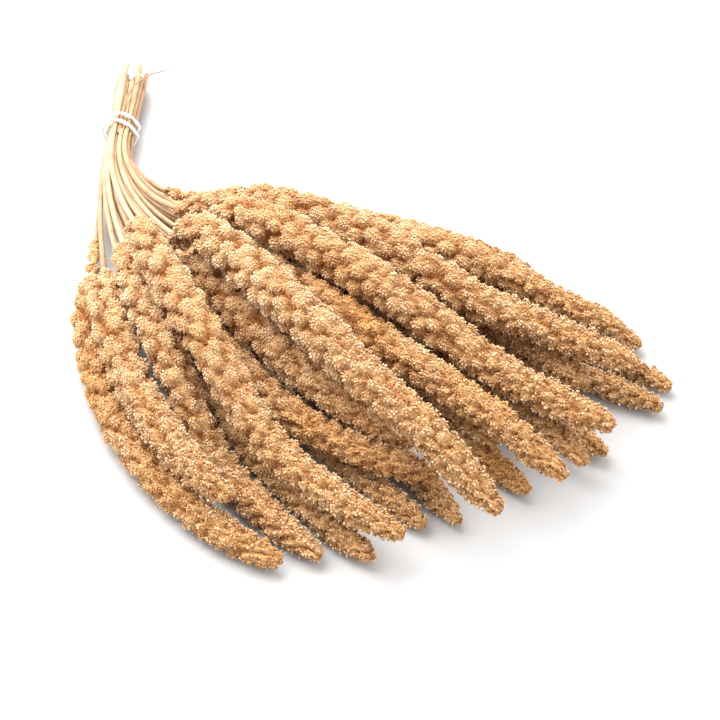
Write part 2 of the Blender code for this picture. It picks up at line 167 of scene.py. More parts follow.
@dataclass
class BunchLayout:
    """Places every spray of the bunch: in the tie, across the table and up the pile."""

    tie_x: float = -0.1742
    tie_y: float = 0.1762
    pitch: float = 0.0035
    rows: tuple[tuple[float, int], ...] = ((-1.5, 4), (-2.0, 5), (-2.5, 6), (-2.0, 5), (-1.5, 4), (-1.0, 1))
    row_rise: float = 0.866
    bundle_low: float = 0.0062
    straight: float = 0.022
    bend_least: float = 0.150
    bend_power: float = 1.5
    curl_power: float = 1.7
    held: float = 0.010
    step: float = 0.004
    gap: float = 0.0005
    stem_window: float = 0.020
    head_window: float = 0.032
    neck_ramp: float = 0.020
    neck_reach: float = 0.040
    sink: float = 0.0005
    stem_width: float = 0.0030
    thin_stem: float = 0.0022
    sparse_length: float = 0.045
    tufts: tuple[tuple[float, float], ...] = ((0.006, 0.0062), (0.017, 0.0070), (0.033, 0.0078))
    tuft_half_length: float = 0.0055
    neck_share: float = 0.24
    shoulder_share: float = 0.42
    shoulder_end: float = 0.03
    swell_end: float = 0.16
    taper_start: float = 0.30
    taper_loss: float = 0.26
    round_start: float = 0.86
    round_loss: float = 0.93
    round_power: float = 2.2
    layers: tuple[tuple[SprayRow, ...], ...] = (BOTTOM_LAYER, MIDDLE_LAYER, TOP_LAYER)

    def plan_path(self, row: SprayRow, x_slot: float) -> tuple[Array, Array, Array]:
        """Path of a spray seen from above.

        The direction turns from straight out of the tie to the heading, fast at first: the turn
        left to do is the share of the bend left, to the bend power. The bend ends with the stem,
        or at its least length. Then the path turns by the curl times the share of the head to
        the curl power. Its points are the running sum of the direction.

        Args:
            row: the spray.
            x_slot: x of its stem in the tie.

        Returns:
            Distances from the tie, x and y.
        """
        count = int(round((row.stem + row.head) / self.step)) + 1
        s = np.linspace(0.0, row.stem + row.head, count)
        bend_end = max(row.stem, self.bend_least)
        left = np.clip(1.0 - (s - self.straight) / (bend_end - self.straight), 0.0, 1.0)
        bend = 1.0 - left**self.bend_power
        along = np.clip((s - row.stem) / row.head, 0.0, 1.0)
        turn = (row.heading + 90.0) * bend + row.curl * along**self.curl_power
        angle = np.radians(turn - 90.0)
        middle = 0.5 * (angle[1:] + angle[:-1])
        length = s[1] - s[0]
        x = x_slot + np.concatenate(([0.0], np.cumsum(np.cos(middle)) * length))
        y = self.tie_y + np.concatenate(([0.0], np.cumsum(np.sin(middle)) * length))
        return s, x, y

    def head_radius(self, t: Array, row: SprayRow, stem_radius: float) -> Array:
        """Outer radius of a head.

        Half the width, times a quick rise at the base, a slow taper to 74% and a round end.
        A loose spray has three smooth bumps on its bare stalk before that.

        Args:
            t: distances from the head's start.
            row: the spray.
            stem_radius: radius of its stem.

        Returns:
            Radius at each distance.
        """
        sparse = self.sparse_length if row.loose else 0.0
        u = np.clip((t - sparse) / (row.head - sparse), 0.0, 1.0)
        shoulder = self.shoulder_share * ease(u / self.shoulder_end)
        swell = (1.0 - self.neck_share - self.shoulder_share) * ease(u / self.swell_end)
        base = self.neck_share + shoulder + swell
        taper = 1.0 - self.taper_loss * ease((u - self.taper_start) / (1.0 - self.taper_start))
        last = np.clip((u - self.round_start) / (1.0 - self.round_start), 0.0, 1.0)
        end = np.sqrt(1.0 - self.round_loss * last**self.round_power)
        radius = 0.5 * row.width * base * taper * end
        if row.loose:
            bare = np.full_like(radius, stem_radius)
            for place, tuft_width in self.tufts:
                bump = ease(1.0 - np.abs(t - place) / self.tuft_half_length)
                bare = np.maximum(bare, stem_radius + (0.5 * tuft_width - stem_radius) * bump)
            radius = np.where(t < sparse, bare, np.maximum(radius, stem_radius))
        return radius

    def arrange(self) -> list[tuple[SprayRow, tuple[float, float]]]:
        """Sprays in the order they are laid, each with its place in the tie.

        The places of two bundle rows go from left to right to a layer's sprays, sorted by
        heading, and the lower row's sprays are laid first.

        Returns:
            Pairs of a spray and the x and z of its place.
        """
        order = []
        for number, layer in enumerate(self.layers):
            places = []
            for level in (2 * number, 2 * number + 1):
                first, count = self.rows[level]
                places += [(first + k, level) for k in range(count)]
            placed = list(zip(sorted(layer, key=lambda row: row.heading), sorted(places)))
            placed.sort(key=lambda item: item[1][1])
            for row, (across, level) in placed:
                height = self.bundle_low + level * self.pitch * self.row_rise
                order.append((row, (self.tie_x + across * self.pitch, height)))
        return order

    def settle(self, s: Array, need: Array, stem: float) -> Array:
        """Smooth a height profile upwards: the running maximum, averaged over the same window.

        Args:
            s: distances from the tie.
            need: least height at each.
            stem: length of the stem.

        Returns:
            Height at each distance, nowhere under the least.
        """
        window = np.where(s < stem - self.neck_ramp, self.stem_window, self.head_window)
        near = np.abs(s[None, :] - s[:, None]) <= window[:, None] + 1e-9
        highest = np.where(near, need[None, :], -1.0).max(axis=1)
        smoothed = np.where(near, highest[None, :], 0.0).sum(axis=1) / near.sum(axis=1)
        return np.maximum(smoothed, need)

    def lay(self) -> list[LaidSpray]:
        """Lay every spray.

        Two round bodies touch where the sum of their radii, squared, is the distance between
        their centres, squared. So each point rises to the height of the other centre plus the
        root of what the plan distance leaves of it.

        Returns:
            The sprays, from the bottom of the pile up.
        """
        laid: list[LaidSpray] = []
        for row, slot in self.arrange():
            stem_radius = 0.5 * (self.thin_stem if row.loose else self.stem_width)
            s, x, y = self.plan_path(row, slot[0])
            in_head = s >= row.stem
            radius = np.where(in_head, self.head_radius(s - row.stem, row, stem_radius), stem_radius)
            rise = ease((s - self.straight) / (row.stem - self.straight))
            neck = max(np.interp(row.stem + self.neck_reach, s, radius), slot[1])
            need = np.where(in_head, radius - self.sink, slot[1] + (neck - slot[1]) * rise)
            for other in laid:
                flat = (x[:, None] - other.x) ** 2 + (y[:, None] - other.y) ** 2
                room = (radius[:, None] + other.radius + self.gap) ** 2 - flat
                over = np.where(room > 0.0, other.z + np.sqrt(np.maximum(room, 0.0)), 0.0)
                need = np.maximum(need, over.max(axis=1))
            need = np.where(s <= self.held, slot[1], need)
            z = np.where(s <= self.held, slot[1], self.settle(s, need, row.stem))
            sparse = self.sparse_length if row.loose else 0.0
            laid.append(LaidSpray(row, slot, s, x, y, z, radius, sparse, stem_radius))
        return laid


@dataclass
class Surface:
    """Triangles with an attribute for each corner point, gathered before they go into a mesh."""

    points: Array
    triangles: Array
    shade: Array
    finish: Array

    @staticmethod
    def join(parts: list[Surface]) -> Surface:
        """One surface of several.

        Args:
            parts: surfaces, each counting its corners from 0.

        Returns:
            The joined surface, with corners renumbered.
        """
        starts = np.cumsum([0] + [len(part.points) for part in parts[:-1]])
        return Surface(
            np.concatenate([part.points for part in parts]),
            np.concatenate([part.triangles + start for part, start in zip(parts, starts)]),
            np.concatenate([part.shade for part in parts]),
            np.concatenate([part.finish for part in parts]),
        )

    def as_object(self, name: str, materials: list[bpy.types.Material]) -> bpy.types.Object:
        """Put the surface into a mesh object at the origin.

        Args:
            name: name of the object.
            materials: finishes, which the finish numbers point to.

        Returns:
            The object, linked to the scene.
        """
        mesh = bpy.data.meshes.new(name)
        count = len(self.triangles)
        mesh.vertices.add(len(self.points))
        mesh.vertices.foreach_set("co", self.points.astype(np.float32).ravel())
        mesh.loops.add(3 * count)
        mesh.loops.foreach_set("vertex_index", self.triangles.astype(np.int32).ravel())
        mesh.polygons.add(count)
        mesh.polygons.foreach_set("loop_start", np.arange(0, 3 * count, 3, dtype=np.int32))
        mesh.polygons.foreach_set("material_index", self.finish.astype(np.int32))
        mesh.update(calc_edges=True)
        mesh.shade_smooth()
        layer = mesh.attributes.new("shade", "FLOAT_COLOR", "POINT")
        layer.data.foreach_set("color", self.shade.astype(np.float32).ravel())
        for material in materials:
            mesh.materials.append(material)
        thing = bpy.data.objects.new(name, mesh)
        bpy.context.scene.collection.objects.link(thing)
        return thing


def grid_triangles(rings: int, sides: int, closed: bool = False) -> Array:
    """Triangles of a tube of rings, each quad cut along one diagonal.

    Args:
        rings: number of rings.
        sides: corners in each ring.
        closed: whether the last ring joins the first.

    Returns:
        Corner numbers, three for each triangle.
    """
    ring = np.arange(rings if closed else rings - 1)[:, None]
    side = np.arange(sides)[None, :]
    near = ring * sides
    far = (ring + 1) % rings * sides
    following = (side + 1) % sides
    a, b, c, d = near + side, near + following, far + following, far + side
    return np.concatenate((np.stack((a, b, c), -1).reshape(-1, 3), np.stack((a, c, d), -1).reshape(-1, 3)))


def frames_along(points: Array) -> tuple[Array, Array, Array]:
    """Frames along a centre line that is nowhere upright.

    Args:
        points: the line's points.

    Returns:
        Unit tangent, side and up vectors at each point.
    """
    tangent = unit(np.gradient(points, axis=0))
    side = unit(np.cross(tangent, (0.0, 0.0, 1.0)))
    return tangent, side, np.cross(side, tangent)


def spokes(angle: Array, first: Array, second: Array) -> Array:
    """Unit spokes of a ring at each station: cosine times the first way plus sine times the second."""
    cosine, sine = np.cos(angle)[None, :, None], np.sin(angle)[None, :, None]
    return cosine * first[:, None, :] + sine * second[:, None, :]


def fibre_shade(total: int, s: Array, angle: Array, tone: float) -> Array:
    """What the corners of a straw tube carry.

    Args:
        total: number of corners, with the two that close the ends.
        s: distance along the straw at each ring.
        angle: angle of each side.
        tone: tone of the whole straw, from 0 to 1.

    Returns:
        Red is the distance, green the share of half a turn, and blue the tone.
    """
    shade = np.ones((total, 4))
    count = len(s) * len(angle)
    shade[:count, 0] = np.repeat(s, len(angle))
    shade[:count, 1] = np.tile(np.abs(angle / math.pi - 1.0), len(s))
    shade[:, 2] = tone
    return shade


def closed_tube(rings: Array, first_tip: Array, last_tip: Array) -> tuple[Array, Array]:
    """Close a tube of rings with a fan at each end.

    Args:
        rings: corners, ring by ring.
        first_tip: point that closes the first ring.
        last_tip: point that closes the last ring.

    Returns:
        Points and triangles, facing out.
    """
    count, sides = rings.shape[:2]
    side = np.arange(sides)
    following = (side + 1) % sides
    first = count * sides
    last = first + 1
    start = (count - 1) * sides
    fans = [
        np.stack((following, side, np.full(sides, first)), -1),
        np.stack((start + side, start + following, np.full(sides, last)), -1),
    ]
    points = np.concatenate((rings.reshape(-1, 3), first_tip[None, :], last_tip[None, :]))
    return points, np.concatenate([grid_triangles(count, sides)] + fans)


class NodeBoard:
    """Small helper that lays out and links the nodes of one material."""

    def __init__(self, name: str) -> None:
        """Start a material with a Principled shader and its output.

        Args:
            name: name of the material.
        """
        self.material = bpy.data.materials.new(name)
        self.material.use_nodes = True
        self.tree = self.material.node_tree
        self.shader = self.tree.nodes["Principled BSDF"]

    def add(self, kind: str, **settings: object) -> bpy.types.Node:
        """Add a node.

        Args:
            kind: type of the node.
            settings: its properties by name.

        Returns:
            The node.
        """
        node = self.tree.nodes.new(kind)
        for key, value in settings.items():
            setattr(node, key, value)
        return node

    def link(self, source: Socket, target: Socket) -> None:
        """Link two sockets."""
        self.tree.links.new(source, target)

    def ramp(self, factor: Socket, stops: tuple[tuple[float, Colour], ...]) -> Socket:
        """Colour ramp over a factor.

        Args:
            factor: socket that drives the ramp.
            stops: pairs of place and linear colour.

        Returns:
            The ramp's colour socket.
        """
        node = self.add("ShaderNodeValToRGB")
        elements = node.color_ramp.elements
        while len(elements) < len(stops):
            elements.new(0.5)
        for element, (place, colour) in zip(elements, stops):
            element.position = place
            element.color = (*colour, 1.0)
        self.link(factor, node.inputs["Fac"])
        return node.outputs["Color"]

    def blend(self, factor: Socket | float, first: Socket | Colour, second: Socket | Colour,
              mode: str = "MIX") -> Socket:
        """Mix two colours.

        Args:
            factor: share of the second colour, a socket or a number.
            first: colour at 0, a socket or a linear colour.
            second: colour at 1, a socket or a linear colour.
            mode: how the second goes over the first.

        Returns:
            The mixed colour's socket.
        """
        node = self.add("ShaderNodeMix", data_type="RGBA", blend_type=mode)
        share, _, _, _, _, _, below, above = node.inputs[:8]
        if isinstance(factor, bpy.types.NodeSocket):
            self.link(factor, share)
        else:
            share.default_value = factor
        for colour, socket in ((first, below), (second, above)):
            if isinstance(colour, bpy.types.NodeSocket):
                self.link(colour, socket)
            else:
                socket.default_value = (*colour, 1.0)
        return node.outputs[2]

    def noise(self, coordinates: Socket, scale: float, detail: float) -> Socket:
        """Noise texture.

        Args:
            coordinates: where it is read.
            scale: cycles a unit of the coordinates.
            detail: number of finer layers.

        Returns:
            The noise value's socket.
        """
        node = self.add("ShaderNodeTexNoise")
        node.inputs["Scale"].default_value = scale
        node.inputs["Detail"].default_value = detail
        self.link(coordinates, node.inputs["Vector"])
        return node.outputs["Fac"]

    def bump(self, height: Socket, distance: float, strength: float) -> None:
        """Raise the shader's normal by a height.

        Args:
            height: socket with the height, from 0 to 1.
            distance: depth of the relief in metres.
            strength: share of it that shows.
        """
        node = self.add("ShaderNodeBump")
        node.inputs["Distance"].default_value = distance
        node.inputs["Strength"].default_value = strength
        self.link(height, node.inputs["Height"])
        self.link(node.outputs["Normal"], self.shader.inputs["Normal"])

    def finish(self, colour: Socket, roughness: float, specular: float) -> bpy.types.Material:
        """Give the shader what every finish has.

        Args:
            colour: socket of its colour.
            roughness: its roughness.
            specular: its specular level.

        Returns:
            The finished material.
        """
        self.link(colour, self.shader.inputs["Base Color"])
        self.shader.inputs["Roughness"].default_value = roughness
        self.shader.inputs["Specular IOR Level"].default_value = specular
        return self.material

    def object_coordinates(self) -> Socket:
        """Place on the object, in metres."""
        return self.add("ShaderNodeTexCoord").outputs["Object"]

    def shade_channels(self) -> tuple[Socket, Socket, Socket]:
        """The three numbers that each corner point carries.

        Returns:
            Sockets of red, green and blue.
        """
        attribute = self.add("ShaderNodeAttribute", attribute_name="shade")
        split = self.add("ShaderNodeSeparateColor")
        self.link(attribute.outputs["Color"], split.inputs["Color"])
        return split.outputs["Red"], split.outputs["Green"], split.outputs["Blue"]


@dataclass(frozen=True)
class GrainFinish:
    """Dry husked grains: each its own tone, orange where ripest, with painted shade in the creases and
    between the grains.
    """

    name: str
    dark: Colour
    middle: Colour
    light: Colour
    # Painted shade in the creases and between the grains
    crease: Colour
    ripe: Colour
    mottle_scale: float = 420.0
    husk_scale: float = 2600.0
    husk_depth: float = 0.00012
    roughness: float = 0.78
    specular: float = 0.12

    def material(self) -> bpy.types.Material:
        """Colour that follows tone and ripeness, with painted shade where the height over the crease is
        low.

        Returns:
            The material.
        """
        board = NodeBoard(self.name)
        tone, height, ripeness = board.shade_channels()
        place = board.object_coordinates()
        colour = board.ramp(tone, ((0.0, self.dark), (0.5, self.middle), (1.0, self.light)))
        colour = board.blend(ripeness, colour, self.ripe)
        # Painted shade: the dark crease colour goes in where the height is low, in the creases between
        # lobes and at the grains' feet.
        depth = board.ramp(height, ((0.0, WHITE), (0.34, (0.55, 0.55, 0.55)), (0.68, BLACK)))
        colour = board.blend(depth, colour, self.crease)
        mottle = board.noise(place, self.mottle_scale, 3.0)
        tinge = board.ramp(mottle, ((0.30, (0.84, 0.78, 0.70)), (0.70, WHITE)))
        colour = board.blend(1.0, colour, tinge, "MULTIPLY")
        board.bump(board.noise(place, self.husk_scale, 2.0), self.husk_depth, 0.5)
        return board.finish(colour, self.roughness, self.specular)


@dataclass(frozen=True)
class CoreFinish:
    """Packed husks under the grains: cells the size of a grain, with painted shade in the creases and at
    the cells' edges.
    """

    name: str
    crest: Colour
    # Painted shade: colour down in the creases
    crease: Colour
    cell_scale: float = 520.0
    cell_depth: float = 0.0006
    roughness: float = 0.85
    specular: float = 0.5

    def material(self) -> bpy.types.Material:
        """Cell pattern that goes on with the grains' relief, with painted shade in the creases and at the
        cells' edges.

        Returns:
            The material.
        """
        board = NodeBoard(self.name)
        _, height, _ = board.shade_channels()
        place = board.object_coordinates()
        cells = board.add("ShaderNodeTexVoronoi")
        cells.inputs["Scale"].default_value = self.cell_scale
        board.link(place, cells.inputs["Vector"])
        distance = cells.outputs["Distance"]
        # Painted shade: the crease colour goes in where the height is low
        share = board.ramp(height, ((0.12, BLACK), (0.62, WHITE)))
        colour = board.blend(share, self.crease, self.crest)
        # Painted shade at the cells' edges, where the grains meet
        edge = board.ramp(distance, ((0.25, WHITE), (0.75, (0.84, 0.74, 0.62))))
        colour = board.blend(1.0, colour, edge, "MULTIPLY")
        dome = board.ramp(distance, ((0.0, WHITE), (0.8, BLACK)))
        board.bump(dome, self.cell_depth, 0.8)
        return board.finish(colour, self.roughness, self.specular)


@dataclass(frozen=True)
class StrawFinish:
    """Dry straw with lengthwise fibres, brown flecks and a slight sheen."""

    name: str
    pale: Colour
    brown: Colour
    stain: Colour
    fibre_scale: float = 46.0
    stretch: float = 0.012
    fleck_scale: float = 90.0
    fibre_depth: float = 0.00010
    roughness: float = 0.48
    specular: float = 0.4

    def material(self) -> bpy.types.Material:
        """Fibres that follow the stem: red runs along it and green round it.

        Returns:
            The material.
        """
        board = NodeBoard(self.name)
        along, around, tone = board.shade_channels()
        place = board.object_coordinates()
        lengthwise = board.add("ShaderNodeMath", operation="MULTIPLY")
        lengthwise.inputs[1].default_value = self.stretch * self.fibre_scale
        board.link(along, lengthwise.inputs[0])
        join = board.add("ShaderNodeCombineXYZ")
        board.link(lengthwise.outputs[0], join.inputs["X"])
        board.link(around, join.inputs["Y"])
        board.link(tone, join.inputs["Z"])
        fibre = board.noise(join.outputs[0], self.fibre_scale, 4.0)
        colour = board.ramp(fibre, ((0.32, self.brown), (0.58, self.pale)))
        fleck = board.noise(place, self.fleck_scale, 3.0)
        share = board.ramp(fleck, ((0.52, BLACK), (0.78, (0.7, 0.7, 0.7))))
        colour = board.blend(share, colour, self.stain)
        shadow = board.ramp(tone, ((0.0, (0.62, 0.50, 0.38)), (1.0, WHITE)))
        colour = board.blend(1.0, colour, shadow, "MULTIPLY")
        board.bump(fibre, self.fibre_depth, 0.6)
        return board.finish(colour, self.roughness, self.specular)


@dataclass(frozen=True)
class CordFinish:
    """Soft white cord with fine threads."""

    name: str
    white: Colour
    shade: Colour
    thread_scale: float = 60.0
    thread_depth: float = 0.00015
    roughness: float = 0.85
    specular: float = 0.5
    sheen: float = 0.2

    def material(self) -> bpy.types.Material:
        """Threads that lie slanting round the cord.

        Returns:
            The material.
        """
        board = NodeBoard(self.name)
        along, around, _ = board.shade_channels()
        slant = board.add("ShaderNodeMath", operation="ADD")
        board.link(along, slant.inputs[0])
        board.link(around, slant.inputs[1])
        join = board.add("ShaderNodeCombineXYZ")
        board.link(slant.outputs[0], join.inputs["X"])
        thread = board.noise(join.outputs[0], self.thread_scale, 2.0)
        colour = board.ramp(thread, ((0.3, self.shade), (0.6, self.white)))
        board.bump(thread, self.thread_depth, 0.6)
        board.shader.inputs["Sheen Weight"].default_value = self.sheen
        return board.finish(colour, self.roughness, self.specular)


@dataclass(frozen=True)
class FloorFinish:
    """Plain pale floor under the bunch, which the studio's light brings up to white."""

    name: str = "floor_white"
    colour: Colour = (0.52, 0.52, 0.52)
    roughness: float = 0.9
    specular: float = 0.1

    def material(self) -> bpy.types.Material:
        """Matt pale grey.

        Returns:
            The material.
        """
        board = NodeBoard(self.name)
        board.shader.inputs["Base Color"].default_value = (*self.colour, 1.0)
        board.shader.inputs["Roughness"].default_value = self.roughness
        board.shader.inputs["Specular IOR Level"].default_value = self.specular
        return board.material


@dataclass
class LobeField:
    """Round lobes packed over a head: where each stands, how far it reaches and how high it rises."""

    place: Array
    angle: Array
    reach: Array
    rise: Array

    def relief(self, t: Array, angle: Array, radius: Array) -> Array:
        """Height over the creases, from 0 to 1.

        For each point it is the highest of all lobes' rise times the root of one less the
        squared distance to the lobe's middle over its squared reach.

        Args:
            t: distances along the head.
            angle: angles round it.
            radius: outer radius at each point.

        Returns:
            Relief at each point.
        """
        turn = (angle[:, None] - self.angle[None, :] + math.pi) % (2.0 * math.pi) - math.pi
        apart = (t[:, None] - self.place[None, :]) ** 2 + (radius[:, None] * turn) ** 2
        dome = np.sqrt(np.clip(1.0 - apart / self.reach[None, :] ** 2, 0.0, 1.0))
        return (self.rise[None, :] * dome).max(axis=1)


@dataclass
class SeedHead:
    """One seed head: a lobed core, the grains that stand out of it, and bristles.

    Widths, creases, what is sunk and the painted shade at the grains' feet go from the base of the
    head to its tip where they have two values. Reach and rise of the lobes, size of the grains and
    length of the bristles are drawn between theirs, and the tone of the grains has a mean and a spread.
    """

    number: int
    spray: LaidSpray
    layout: BunchLayout
    # Lobes, the creases between them and the clusters on them
    lobe_width: Span = (0.0145, 0.0080)
    lobe_least: float = 0.55
    lobe_crown: float = 0.0022
    lobe_fill: float = 0.94
    lobe_row: float = 0.86
    lobe_reach: Span = (0.48, 0.58)
    lobe_rise: Span = (0.70, 1.0)
    lobe_turn_shake: float = 0.12
    lobe_row_shake: float = 0.13
    crease: Span = (0.0054, 0.0026)
    crease_power: float = 0.8
    crease_most: float = 0.45
    cluster_width: Span = (0.0056, 0.0042)
    cluster_crease: Span = (0.0006, 0.0013)
    # Share of the clusters in the height that sets the painted shade
    cluster_shade_share: float = 0.20
    turnover: float = 0.50
    turnover_rate: float = 1.2
    # Neck of small lobes before the head, longest on the sprays that lie most to the right
    neck_longest: float = 0.045
    neck_least: float = 0.001
    neck_shown: float = 0.005
    neck_headings: Span = (-75.0, -35.0)
    neck_share: Span = (0.28, 0.70)
    neck_until: float = 0.25
    # Core under the grains
    stations: int = 180
    core_sunk: Span = (0.00020, 0.00060)
    core_step: float = 0.0022
    core_sides: int = 26
    core_least: float = 0.55
    core_gap: float = 0.0012
    cap_gap: float = 0.0004
    # Grains
    grain_gap: float = 0.0003
    grain_start: Span = (0.0006, 0.0004)
    grain_spacing: float = 0.00180
    grain_row: float = 0.87
    tuft_least: float = 0.0006
    grain_shake: float = 0.20
    grain_height: float = 0.00088
    grain_foot: Span = (0.00045, 0.00080)
    grain_reach: Span = (0.00100, 0.00102)
    grain_size: Span = (0.84, 1.14)
    grain_lean: float = 0.20
    grain_tilt: float = 0.16
    grain_tone: Span = (0.52, 0.13)
    # Painted shade at the grains' feet: how far their height drops, from the base to the tip
    foot_painted_shade: Span = (0.24, 0.60)
    patch_rates: tuple[float, float, float] = (70.0, 31.0, 45.0)
    patch_depth: Span = (0.08, 0.20)
    # Slope of the surface, and the grains that are left out
    slope_step: float = 0.0005
    slope_most: float = 1.4
    buried: float = 0.0010
    near_other: float = 0.016
    under_side: float = -0.55
    under_dropped: float = 0.5
    # Bristles
    bristles: int = 420
    bristle_width: float = 0.00020
    bristle_length: Span = (0.0026, 0.0056)
    bristle_shake: float = 0.35
    bristle_tone: Span = (0.6, 1.0)
    table_clear: float = 0.0002
    rng: np.random.Generator = field(init=False)
    neck: float = field(init=False)
    lobes: LobeField = field(init=False)
    clusters: LobeField = field(init=False)

    def __post_init__(self) -> None:
        """Seed this head's own random draws, measure its neck, and place lobes and clusters."""
        self.rng = np.random.default_rng(400 + self.number)
        first, last = self.neck_headings
        turned = float(ease(np.array((self.spray.row.heading - first) / (last - first))))
        self.neck = max(self.neck_longest * turned, self.neck_least)
        self.lobes = self.place_lobes(self.lobe_width)
        self.clusters = self.place_lobes(self.cluster_width)

    def share(self, t: Array) -> Array:
        """How far along the dense part of the head a point is, from 0 to 1."""
        return np.clip((t - self.spray.sparse) / (self.spray.row.head - self.spray.sparse), 0.0, 1.0)

    def envelope(self, t: Array) -> Array:
        """Outer radius of the head, and of the neck of small lobes before it.

        The neck's radius rises by a smooth step between two shares of half the width, over the
        neck's length, and the larger of head and neck counts.

        Args:
            t: distances from the head's start, negative on the neck.

        Returns:
            Radius at each distance.
        """
        head = self.layout.head_radius(t, self.spray.row, self.spray.stem_radius)
        if self.neck < self.neck_shown:
            return head
        neck = 0.5 * self.spray.row.width * between(self.neck_share, ease((t + self.neck) / self.neck))
        return np.where(t < self.neck_until * self.spray.row.head, np.maximum(head, neck), head)

    def rise(self, t: Array) -> Array:
        """Depth of the creases between lobes, falling to the tip and held to a share of the radius."""
        depth = between(self.crease, self.share(t) ** self.crease_power)
        return np.minimum(depth, self.crease_most * self.envelope(t))

    def place_lobes(self, widths: Span) -> LobeField:
        """Pack round lobes in staggered rows.

        Args:
            widths: width of a lobe at the base and at the tip.

        Returns:
            The lobes.
        """
        place, angle, reach = [], [], []
        t = -self.neck
        turn = self.rng.uniform(0.0, math.pi)
        while t < self.spray.row.head:
            share = float(self.share(np.array(t)))
            radius = float(self.envelope(np.array(t)))
            width = between(widths, share)
            width *= min(max(2.0 * radius / self.spray.row.width, self.lobe_least), 1.0)
            count = max(3, int(round(2.0 * math.pi * radius * self.lobe_fill / width)))
            turn += math.pi / count
            angle.append(turn + around(count) + self.rng.normal(0.0, self.lobe_turn_shake, count))
            place.append(t + self.rng.normal(0.0, self.lobe_row_shake * width, count))
            reach.append(width * self.rng.uniform(*self.lobe_reach, count))
            t += self.lobe_row * width
        everything = np.concatenate(place)
        rise = self.rng.uniform(*self.lobe_rise, len(everything))
        return LobeField(everything, np.concatenate(angle), np.concatenate(reach), rise)

    def surface_radius(self, t: Array, angle: Array) -> tuple[Array, Array]:
        """Radius of the lobed surface.

        It is the outer radius, plus the crown that full lobes rise above it, less the crease
        depth where no lobe stands, less the shallow creases between the clusters of a lobe.
        The height, which sets the painted shade in the creases, goes over from the lobes' to the clusters'
        to the tip.

        Args:
            t: distances along the head.
            angle: angles round it.

        Returns:
            Radius and height at each point.
        """
        envelope = self.envelope(t)
        relief = self.lobes.relief(t, angle, envelope)
        fine = self.clusters.relief(t, angle, envelope)
        radius = envelope + self.lobe_crown * relief - self.rise(t) * (1.0 - relief)
        radius = radius - between(self.cluster_crease, self.share(t)) * (1.0 - fine)
        turnover = self.turnover * ease(self.turnover_rate * self.share(t))
        # The height only sets the painted shade in the creases
        tint = self.cluster_shade_share
        lobe_height = relief * (1.0 - tint + tint * fine)
        cluster_height = tint + (1.0 - tint) * fine
        return radius, (1.0 - turnover) * lobe_height + turnover * cluster_height

    def place_points(self, t: Array, angle: Array, radius: Array) -> tuple[Array, Array, Array, Array]:
        """World places of surface points.

        Args:
            t: distances along the head.
            angle: angles round it.
            radius: distance from the centre line.

        Returns:
            Points, and the tangent, outward and crosswise unit vectors at each.
        """
        stations = np.linspace(-self.neck, self.spray.row.head, self.stations)
        tangent, side, up = frames_along(self.spray.centre_at(self.spray.row.stem + stations))
        vectors = []
        for array in (tangent, side, up):
            vectors.append(unit(np.stack([np.interp(t, stations, array[:, k]) for k in range(3)], -1)))
        tangent, side, up = vectors
        outward = np.cos(angle)[:, None] * side + np.sin(angle)[:, None] * up
        across = -np.sin(angle)[:, None] * side + np.cos(angle)[:, None] * up
        points = self.spray.centre_at(self.spray.row.stem + t) + radius[:, None] * outward
        return points, tangent, outward, across

    def core(self) -> Surface:
        """Lobed body under the grains, a grid of rings closed at both ends.

        Returns:
            The body.
        """
        length = self.spray.row.head
        t = np.linspace(-self.neck, length - self.core_gap, int((length + self.neck) / self.core_step))
        t_all = np.repeat(t, self.core_sides)
        angle_all = np.tile(around(self.core_sides), len(t))
        radius, relief = self.surface_radius(t_all, angle_all)
        sunk = between(self.core_sunk, self.share(t_all))
        radius = np.maximum(radius - sunk, self.core_least * self.spray.stem_radius)
        points = self.place_points(t_all, angle_all, radius)[0]
        points[:, 2] = np.maximum(points[:, 2], self.table_clear)
        ends = self.spray.centre_at(self.spray.row.stem + np.array([-self.neck, length - self.cap_gap]))
        points, triangles = closed_tube(points.reshape(len(t), self.core_sides, 3), ends[0], ends[1])
        shade = np.zeros((len(points), 4))
        # Green carries the height that sets the painted shade in the creases
        shade[: len(relief), 1] = relief
        return Surface(points, triangles, shade, np.zeros(len(triangles)))

    def scatter(self) -> tuple[Array, Array]:
        """Even, slightly shaken places for grains over the head.

        Rows stand a share of the spacing apart, each with as many grains as fit round it.

        Returns:
            Distances along the head and angles round it.
        """
        first, least = self.grain_start
        last = self.spray.row.head - self.grain_gap
        rows = np.arange(first - self.neck, last, self.grain_row * self.grain_spacing)
        radius = self.envelope(rows) - 0.4 * self.rise(rows)
        counts = np.maximum(3, np.round(2.0 * math.pi * radius / self.grain_spacing)).astype(int)
        row = np.repeat(np.arange(len(rows)), counts)
        order = np.arange(len(row)) - np.repeat(np.cumsum(counts) - counts, counts)
        phase = self.rng.uniform(0.0, 2.0 * math.pi, len(rows))
        angle = phase[row] + order * 2.0 * math.pi / counts[row]
        angle += self.rng.normal(0.0, self.grain_shake, len(row)) * self.grain_spacing / radius[row]
        t = rows[row] + self.rng.normal(0.0, self.grain_shake * self.grain_spacing, len(row))
        t = np.clip(t, least - self.neck, last)
        on_stalk = (t < self.spray.sparse) & (self.envelope(t) < self.spray.stem_radius + self.tuft_least)
        return t[~on_stalk], angle[~on_stalk]

